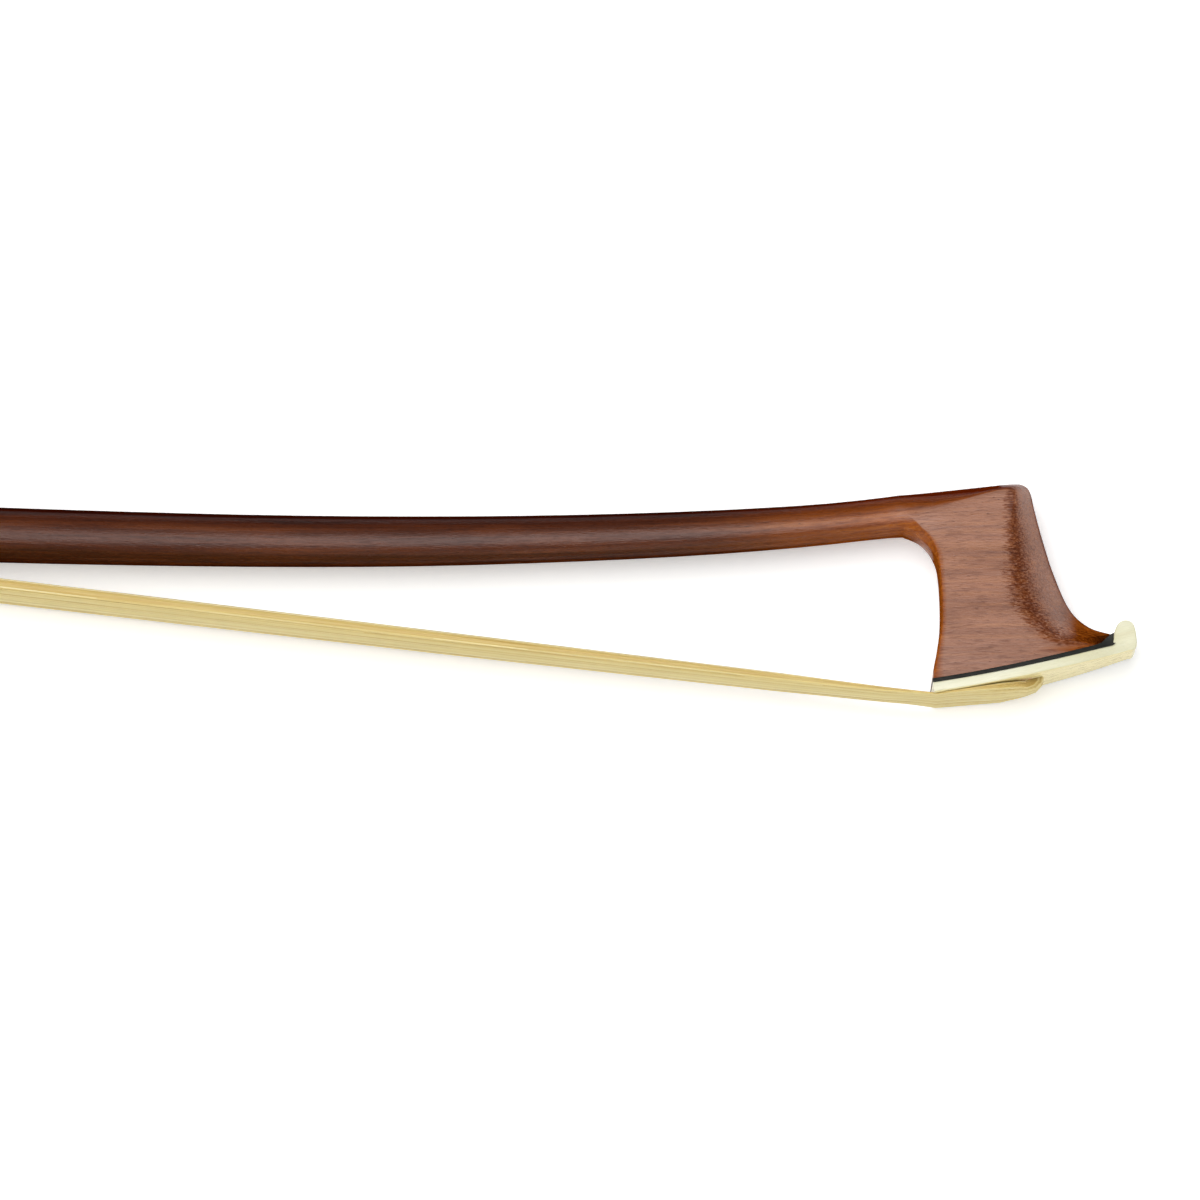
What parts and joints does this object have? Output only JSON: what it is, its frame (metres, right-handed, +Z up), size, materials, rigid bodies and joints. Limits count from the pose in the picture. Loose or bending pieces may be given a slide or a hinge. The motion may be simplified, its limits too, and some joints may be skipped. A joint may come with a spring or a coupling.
{
  "type": "viola bow",
  "caption": "Viola bow: round cambered stick with carved head and tip plate, a ribbon of hair, and a frog that the screw in the butt draws back to tighten the hair.",
  "frame": {"origin": "middle of the overall box, on the surface that the bow lies on", "axes": "+X along the hair from the butt to the head, +Y from the hair to the stick, +Z up from the surface, square to the bow's own plane"},
  "size_m": [0.7454, 0.0312, 0.0149],
  "materials": {
    "bow_wood": "polished red-brown bow wood with dark flecks along the grain",
    "black_fibre": "thin black lining, satin",
    "bone": "polished cream bone",
    "horsehair": "straight bleached horsehair, side by side",
    "maple": "plain cut maple",
    "binding_thread": "waxed thread round the hair's end",
    "leather": "thin black grained leather",
    "silver": "polished silver",
    "ebony": "polished black ebony",
    "pearl": "white mother-of-pearl with a soft play of colour",
    "brass": "machined brass",
    "steel": "turned steel"
  },
  "bodies": {
    "stick": {"stick": "bow_wood", "head_lining": "black_fibre", "tip_plate": "bone", "tip_plug": "maple", "tip_knot": "binding_thread", "hair": "horsehair", "thumb_grip": "leather", "winding": "silver"},
    "frog": {"frog_body": "ebony", "underslide": "silver", "heel_plate": "silver", "ferrule": "silver", "hair_wedge": "maple", "frog_plug": "maple", "frog_knot": "binding_thread", "pearl_slide": "pearl", "slide_backing": "ebony", "eye_left": "pearl", "eye_right": "pearl", "eye_ring_left": "silver", "eye_ring_right": "silver", "eyelet": "brass"},
    "screw": {"screw": "steel", "button_core": "ebony", "button_front_ring": "silver", "button_rear_ring": "silver", "button_eye": "pearl"}
  },
  "joints": [
    {"name": "screw_turn", "type": "hinge", "parent": "stick", "child": "screw", "pos_m": [-0.35619, 0.01003, 0.00708], "axis": [0.9977, -0.068, -0.0017], "range_deg": [-720, 2880]},
    {"name": "frog_slide", "type": "slide", "parent": "stick", "child": "frog", "axis": [-0.9977, 0.068, 0.0017], "range_m": [-0.0015, 0.006], "deforming": ["hair"]}
  ],
  "couplings": [
    {"joint": "screw_turn", "follows": "frog_slide", "rad_per_m": 8377.6}
  ]
}
